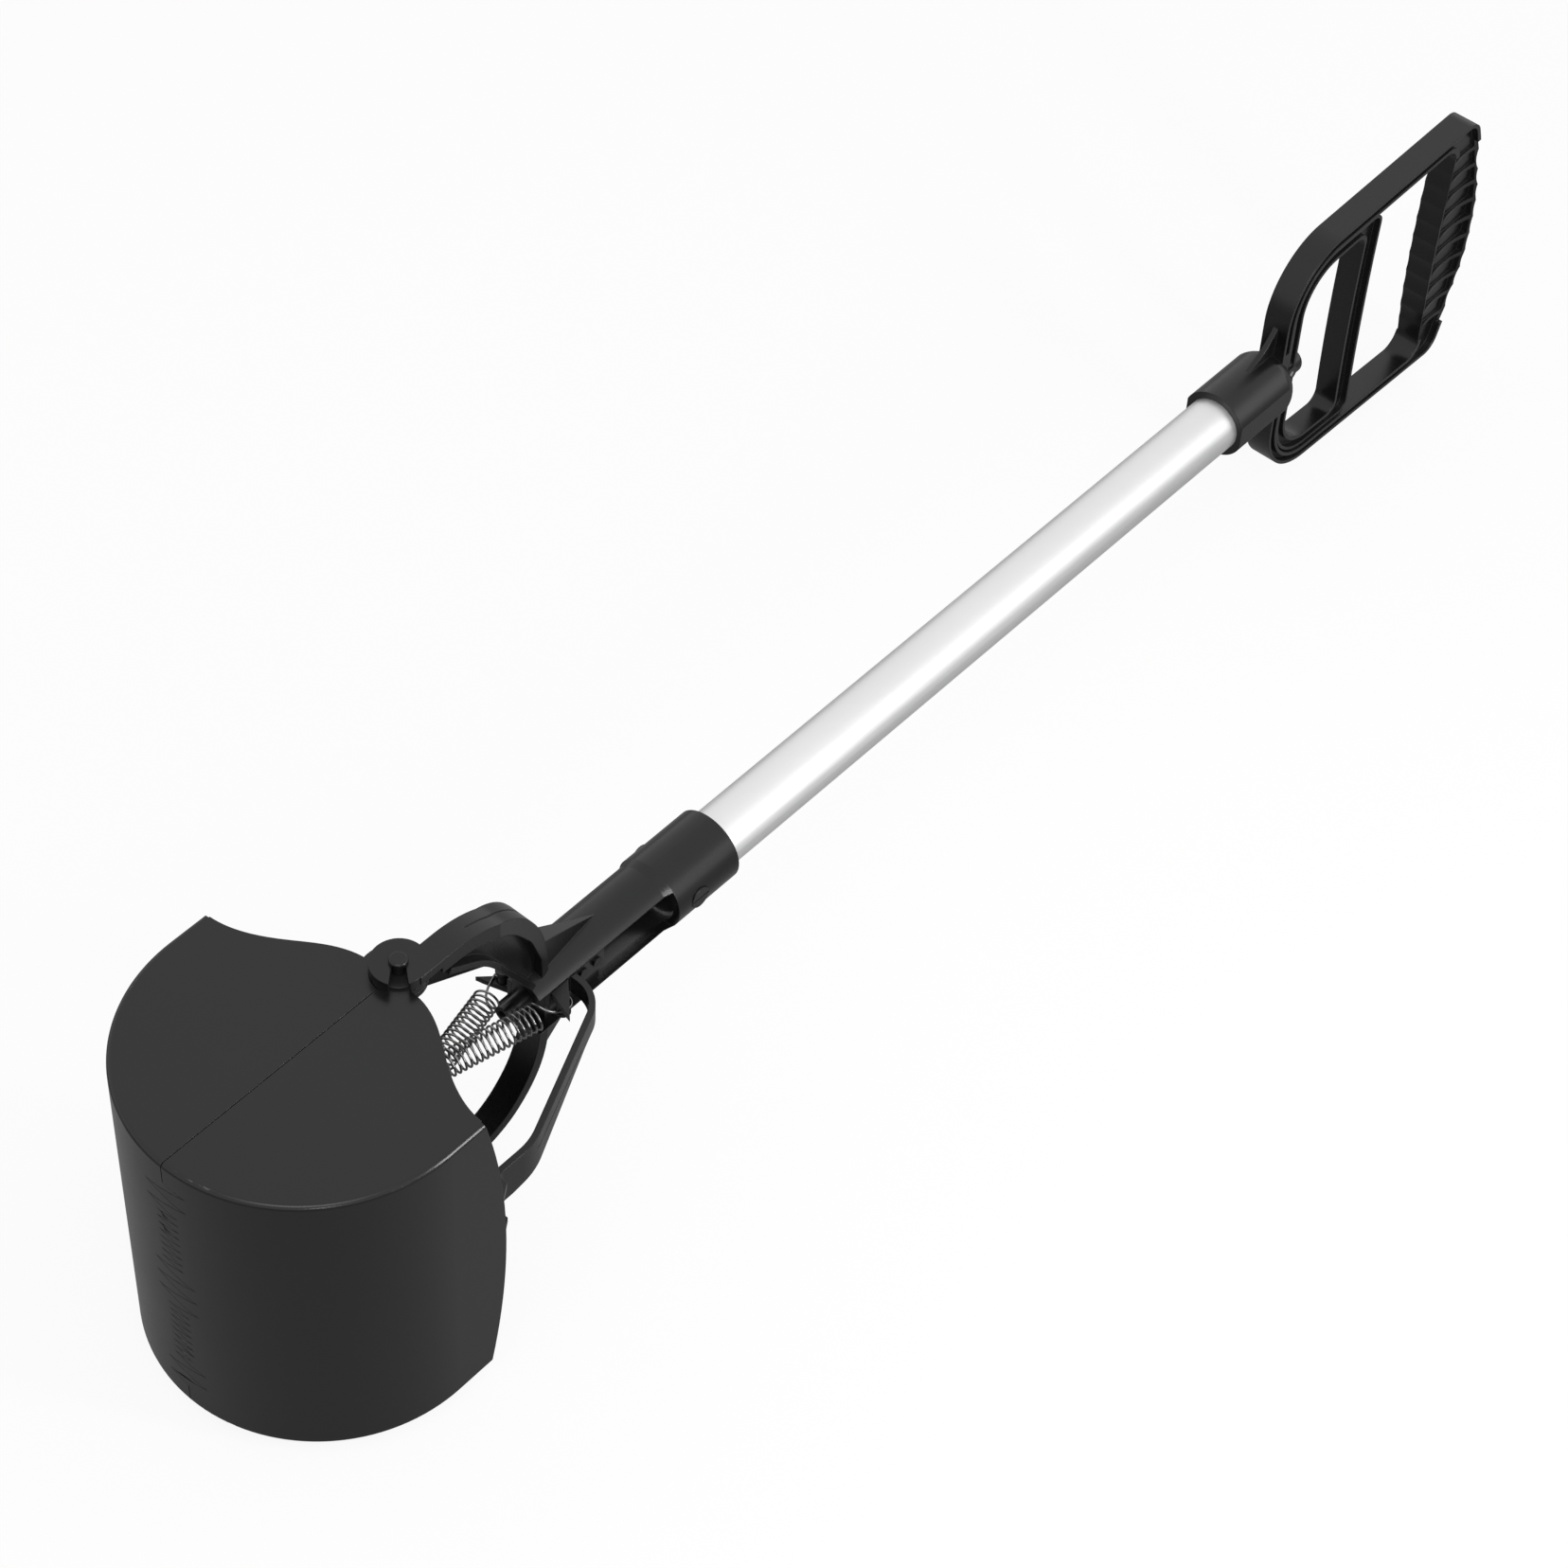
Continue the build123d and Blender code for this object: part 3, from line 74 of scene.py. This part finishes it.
def addMix(tree, share, first, second):
    node = addNode(tree, "ShaderNodeMix", data_type="RGBA")
    for socket, value in ((node.inputs[0], share), (node.inputs[6], first), (node.inputs[7], second)):
        if isinstance(value, bpy.types.NodeSocket):
            tree.links.new(value, socket)
        else:
            socket.default_value = value
    return node.outputs[2]


def grey(value, warm=0.0):
    return (value * (1 + warm), value, value * (1 - warm), 1.0)


noiseBand = (0.3, 0.7)  # the part of a noise's range that its contrast is drawn from


# moulded plastic: fine spark texture, slight clouding, hairline scuffs, soft edges
def makePlastic(name, look):
    mat = newMaterial(name)
    tree = mat.node_tree
    place = addNode(tree, "ShaderNodeTexCoord").outputs["Object"]
    clouds = addNoise(tree, place, look["cloudScale"], 2.0)
    spark = addNoise(tree, place, look["sparkScale"], 4.0, roughness=0.6)
    scuffs = addNoise(tree, place, look["scuffScale"], 5.0, look["scuffStretch"], 0.7)
    scuffMask = addRange(tree, scuffs, *look["scuffBand"], 0.0, look["scuffs"])
    base = addMix(tree, clouds, look["dark"], look["light"])
    base = addMix(tree, scuffMask, base, look["scuffColour"])
    patches = addRange(tree, addNoise(tree, place, look["patchScale"], 3.0), *noiseBand, *look["rough"])
    openness = addNode(tree, "ShaderNodeAmbientOcclusion", {"Distance": look["recess"]}, samples=6)
    # the recesses hold dust and shine less
    grime = addRange(tree, openness.outputs["AO"], *look["recessBand"], look["recessRough"], 0.0)
    rough = addMaths(tree, "MAXIMUM", patches, grime)
    softEdge = addNode(tree, "ShaderNodeBevel", {"Radius": look["edge"]}, samples=6).outputs["Normal"]
    fine = addNode(tree, "ShaderNodeBump", {
        "Strength": look["sparkDepth"], "Distance": look["bumpHeight"], "Height": spark, "Normal": softEdge})
    lines = addNode(tree, "ShaderNodeBump", {
        "Strength": look["scuffDepth"], "Distance": look["bumpHeight"], "Height": scuffs,
        "Normal": fine.outputs["Normal"]})
    surface = addNode(tree, "ShaderNodeBsdfPrincipled", {
        "Base Color": base, "Roughness": rough, "IOR": look["ior"], "Normal": lines.outputs["Normal"]})
    addNode(tree, "ShaderNodeOutputMaterial", {"Surface": surface.outputs["BSDF"]})
    return mat


jawLook = {
    "dark": grey(0.004), "light": grey(0.006), "cloudScale": 9.0, "sparkScale": 1900.0, "sparkDepth": 0.14,
    "scuffScale": 30.0, "scuffStretch": (1.0, 1.0, 14.0), "scuffs": 0.10, "scuffColour": grey(0.03),
    "patchScale": 18.0, "rough": (0.2, 0.26), "ior": 1.45, "edge": 0.0003,
    "recess": 0.012, "recessRough": 0.6, "recessBand": (0.4, 0.9), "scuffBand": (0.62, 0.78),
    "scuffDepth": 0.05, "bumpHeight": 0.0002,
}
glossLook = dict(jawLook, dark=grey(0.003), light=grey(0.0045), sparkScale=900.0, sparkDepth=0.05,
                 scuffStretch=(14.0, 1.0, 1.0), scuffs=0.08, rough=(0.24, 0.32), ior=1.44, edge=0.0006)
nylonLook = dict(glossLook, dark=grey(0.004), light=grey(0.007), scuffColour=grey(0.015), rough=(0.3, 0.38))


# satin anodised tube: fine lines drawn along it, faint pressure marks, a few short scratches
def makeAluminium(name, look):
    mat = newMaterial(name)
    tree = mat.node_tree
    place = addNode(tree, "ShaderNodeTexCoord").outputs["Object"]
    drawn = addNoise(tree, place, look["lineScale"], 3.0, look["lineStretch"], 0.7)
    haze = addNoise(tree, place, look["hazeScale"], 3.0)
    marks = addNoise(tree, place, look["markScale"], 5.0, look["markStretch"], 0.75)
    markMask = addRange(tree, marks, *look["markBand"], 0.0, look["marks"])
    base = addMix(tree, haze, look["dark"], look["light"])
    base = addMix(tree, markMask, base, look["markColour"])
    rough = addRange(tree, drawn, *noiseBand, *look["rough"])
    bump = addNode(tree, "ShaderNodeBump", {
        "Strength": look["lineDepth"], "Distance": look["bumpHeight"], "Height": drawn})
    surface = addNode(tree, "ShaderNodeBsdfPrincipled", {
        "Base Color": base, "Metallic": look["metal"], "Roughness": rough, "Normal": bump.outputs["Normal"]})
    addNode(tree, "ShaderNodeOutputMaterial", {"Surface": surface.outputs["BSDF"]})
    return mat


tubeLook = {"dark": grey(0.74), "light": grey(0.8), "lineScale": 40.0, "lineStretch": (0.6, 45.0, 45.0),
            "lineDepth": 0.12, "bumpHeight": 0.0001, "hazeScale": 14.0, "markScale": 60.0,
            "markStretch": (0.25, 2.0, 2.0), "markBand": (0.70, 0.80), "marks": 0.35,
            "markColour": grey(0.45), "rough": (0.40, 0.48), "metal": 0.9}


# plated steel: soft mottling and fine turning lines
def makeSteel(name, look):
    mat = newMaterial(name)
    tree = mat.node_tree
    place = addNode(tree, "ShaderNodeTexCoord").outputs["Object"]
    mottle = addNoise(tree, place, look["mottleScale"], 4.0)
    lines = addNoise(tree, place, look["turnScale"], 2.0, look["turnStretch"])
    base = addMix(tree, mottle, look["dark"], look["light"])
    rough = addRange(tree, lines, *noiseBand, *look["rough"])
    bump = addNode(tree, "ShaderNodeBump", {
        "Strength": look["turnDepth"], "Distance": look["bumpHeight"], "Height": lines})
    surface = addNode(tree, "ShaderNodeBsdfPrincipled", {
        "Base Color": base, "Metallic": 1.0, "Roughness": rough, "Normal": bump.outputs["Normal"]})
    addNode(tree, "ShaderNodeOutputMaterial", {"Surface": surface.outputs["BSDF"]})
    return mat


zincLook = {"dark": grey(0.5, 0.01), "light": grey(0.62, 0.01), "rough": (0.28, 0.4), "mottleScale": 220.0,
            "turnScale": 900.0, "turnStretch": (1.0, 1.0, 6.0), "turnDepth": 0.1, "bumpHeight": 0.00005}
springLook = dict(zincLook, dark=grey(0.16), light=grey(0.3), rough=(0.18, 0.28))
slotShadeSteelLook = dict(zincLook, dark=grey(0.03), light=grey(0.06), rough=(0.26, 0.36))  # near-black steel: painted shade for the screws inside the yoke's slot

jawPlastic = makePlastic("jawPlastic", jawLook)
glossPlastic = makePlastic("glossPlastic", glossLook)
nylon = makePlastic("nylon", nylonLook)
aluminium = makeAluminium("aluminium", tubeLook)
zincSteel = makeSteel("zincSteel", zincLook)
springSteel = makeSteel("springSteel", springLook)
slotShadeSteel = makeSteel("slotShadeSteel", slotShadeSteelLook)

finishes = {
    "left_jaw": jawPlastic, "right_jaw": jawPlastic,
    "yoke": glossPlastic, "handle": glossPlastic, "trigger": glossPlastic,
    "left_link": glossPlastic, "right_link": glossPlastic, "slider": glossPlastic,
    "yoke_screws": glossPlastic, "handle_screw": zincSteel, "hinge_rod": glossPlastic,
    "hinge_washers": nylon, "hinge_clips": zincSteel, "lower_guide": nylon, "upper_guide": nylon,
    # the link screws take the near-black steel, a painted shade for the inside of the yoke's slot
    "pull_rod": zincSteel, "slider_pin": zincSteel, "trigger_pin": zincSteel, "link_screws": slotShadeSteel,
    "left_link_pin": zincSteel, "right_link_pin": zincSteel, "left_spring": springSteel,
    "right_spring": springSteel, "tube": aluminium,
}
for name, mat in finishes.items():
    obj = nodes[name]
    obj.data.materials.clear()
    obj.data.materials.append(mat)
print("finishes on:", len(finishes), "nodes")


# the springs stretch between the hinge rod and the posts of the link arms
springShape = {
    "wire": 0.00048, "coil": 0.0053, "turns": 20, "inset": 0.0112, "level": 0.006, "stepsPerTurn": 16,
    "hook": 0.00375, "hookShift": 0.0003, "hookSteps": 12, "hookStart": -50, "hookSweep": 220,
    "post": (0.0685, -0.0156),
}


def springPoints(shape):
    length = hypot(*shape["post"])
    points = []
    for step in range(shape["hookSteps"]):  # the hook round the hinge rod
        turn = radians(shape["hookStart"] - shape["hookSweep"] * step / (shape["hookSteps"] - 1))
        points.append((shape["hookShift"] + shape["hook"] * cos(turn), shape["hook"] * sin(turn), 0.0))
    points.append((shape["inset"] * 0.55, shape["hook"] * 0.95, shape["coil"] * 0.28))
    points.append((shape["inset"] * 0.88, shape["coil"] * 0.45, shape["coil"] * 0.86))
    near = list(points)  # the hook and its rise, mirrored at the far end
    steps = shape["turns"] * shape["stepsPerTurn"]
    for step in range(1, steps):
        turn = pi / 2 + 2 * pi * step / shape["stepsPerTurn"]
        along = shape["inset"] + (length - 2 * shape["inset"]) * step / steps
        points.append((along, shape["coil"] * cos(turn), shape["coil"] * sin(turn)))
    points += [(length - u, -v, w) for u, v, w in reversed(near)]
    return points


def makeSpring(name, turned):
    shape = springShape
    post = Vector((shape["post"][0], shape["post"][1], 0.0))
    along = post.normalized()
    aside = Vector((-along.y, along.x, 0.0))
    curve = bpy.data.curves.new(name, "CURVE")
    curve.dimensions = "3D"
    curve.bevel_depth = shape["wire"]
    curve.bevel_resolution = 3
    curve.resolution_u = 3
    curve.use_fill_caps = True
    points = springPoints(shape)
    line = curve.splines.new("NURBS")
    line.points.add(len(points) - 1)
    for point, (u, v, w) in zip(line.points, points):
        offset = along * u + aside * v + Vector((0, 0, shape["level"] + w))
        if turned:
            offset = Vector((offset.x, -offset.y, -offset.z))
        point.co = (*(hinge + offset), 1.0)
    line.order_u = 4
    line.use_endpoint_u = True
    wire = bpy.data.objects.new(name + "Curve", curve)
    scene.collection.objects.link(wire)
    bpy.context.view_layer.update()
    mesh = bpy.data.meshes.new_from_object(wire.evaluated_get(bpy.context.evaluated_depsgraph_get()))
    bpy.data.objects.remove(wire)
    mesh.name = name
    spring = bpy.data.objects.new(name, mesh)
    scene.collection.objects.link(spring)
    mesh.shade_smooth()
    mesh.materials.clear()
    mesh.materials.append(springSteel)
    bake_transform(spring)
    return spring


springPlaces = (("rightSpringWire", "right_spring", False), ("leftSpringWire", "left_spring", True))
for name, node, turned in springPlaces:
    spring = makeSpring(name, turned)
    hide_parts(node)
print("springs made")

stageLook = {"floorSize": 8.0, "floor": grey(0.32), "floorSeen": grey(0.95), "worldLight": 0.6,
             "whiteShare": 0.9, "glossShare": 0.1}


# how much of the plain white is seen by the camera, in gloss and through clear parts
def whiteSeen(tree, straight, glossy):
    rays = addNode(tree, "ShaderNodeLightPath").outputs
    seen = addMaths(tree, "MULTIPLY", rays["Is Camera Ray"], straight)
    shine = addMaths(tree, "MULTIPLY", rays["Is Glossy Ray"], glossy)
    clear = addMaths(tree, "MULTIPLY", rays["Is Transmission Ray"], straight)
    return addMaths(tree, "MAXIMUM", addMaths(tree, "MAXIMUM", seen, shine), clear)


def makeFloor(look):
    bm = bmesh.new()
    bmesh.ops.create_grid(bm, x_segments=1, y_segments=1, size=look["floorSize"] / 2)
    mesh = bpy.data.meshes.new("floor")
    bm.to_mesh(mesh)
    bm.free()
    floor = bpy.data.objects.new("floor", mesh)
    scene.collection.objects.link(floor)
    mat = newMaterial("paleFloor")
    tree = mat.node_tree
    straight = addNode(tree, "ShaderNodeLightPath").outputs["Is Camera Ray"]
    colour = addMix(tree, straight, look["floor"], look["floorSeen"])
    matt = addNode(tree, "ShaderNodeBsdfDiffuse", {"Color": colour})
    white = addNode(tree, "ShaderNodeEmission", {"Color": grey(1.0), "Strength": 1.0})
    share = whiteSeen(tree, look["whiteShare"], look["glossShare"])
    mix = addNode(tree, "ShaderNodeMixShader", {0: share, 1: matt.outputs[0], 2: white.outputs[0]})
    addNode(tree, "ShaderNodeOutputMaterial", {"Surface": mix.outputs[0]})
    mesh.materials.append(mat)


def makeWorld(look):
    world = bpy.data.worlds.new("studio")
    scene.world = world
    world.use_nodes = True
    tree = world.node_tree
    tree.nodes.clear()
    soft = addNode(tree, "ShaderNodeBackground", {"Color": grey(1.0), "Strength": look["worldLight"]})
    seen = addNode(tree, "ShaderNodeBackground", {"Color": grey(1.0), "Strength": 1.0})
    share = whiteSeen(tree, 1.0, 1.0)
    mix = addNode(tree, "ShaderNodeMixShader", {0: share, 1: soft.outputs[0], 2: seen.outputs[0]})
    addNode(tree, "ShaderNodeOutputWorld", {"Surface": mix.outputs[0]})


lamps = [
    {"name": "overhead", "place": (-1.0, -0.5, 2.1), "target": (-0.2, 0.0, 0.08),
     "size": (1.2, 0.9), "power": 9.0},
    {"name": "rightSide", "place": (1.5, -1.25, 0.8), "target": (-0.3, 0.0, 0.1),
     "size": (1.4, 0.9), "power": 4.0},
    {"name": "rimStrip", "place": (0.05, -0.92, 0.42), "target": (-0.335, -0.07, 0.155),
     "size": (0.14, 0.6), "power": 5.0},
    {"name": "frontSide", "place": (-1.55, -1.5, 0.9), "target": (-0.2, 0.0, 0.08),
     "size": (0.3, 0.3), "power": 3.0},
]


def makeLamp(look):
    light = bpy.data.lights.new(look["name"], "AREA")
    light.shape = "RECTANGLE"
    light.size, light.size_y = look["size"]
    light.energy = look["power"]
    lamp = bpy.data.objects.new(look["name"], light)
    scene.collection.objects.link(lamp)
    lamp.location = look["place"]
    way = Vector(look["target"]) - Vector(look["place"])
    lamp.rotation_euler = way.to_track_quat("-Z", "Y").to_euler()
    lamp.visible_camera = False


makeFloor(stageLook)
makeWorld(stageLook)
for look in lamps:
    makeLamp(look)

viewpoint = {"place": (-0.90512, -0.66312, 1.27235), "turn": (41.696, -2.2168, -48.9942), "lens": 92.27}
camera = bpy.data.cameras.new("camera")
camera.lens = viewpoint["lens"]
camera.sensor_width = 36.0
camera.clip_start = 0.05
eye = bpy.data.objects.new("camera", camera)
scene.collection.objects.link(eye)
eye.location = viewpoint["place"]
eye.rotation_euler = [radians(angle) for angle in viewpoint["turn"]]
scene.camera = eye
scene.view_settings.view_transform = "Standard"
print("stage ready")
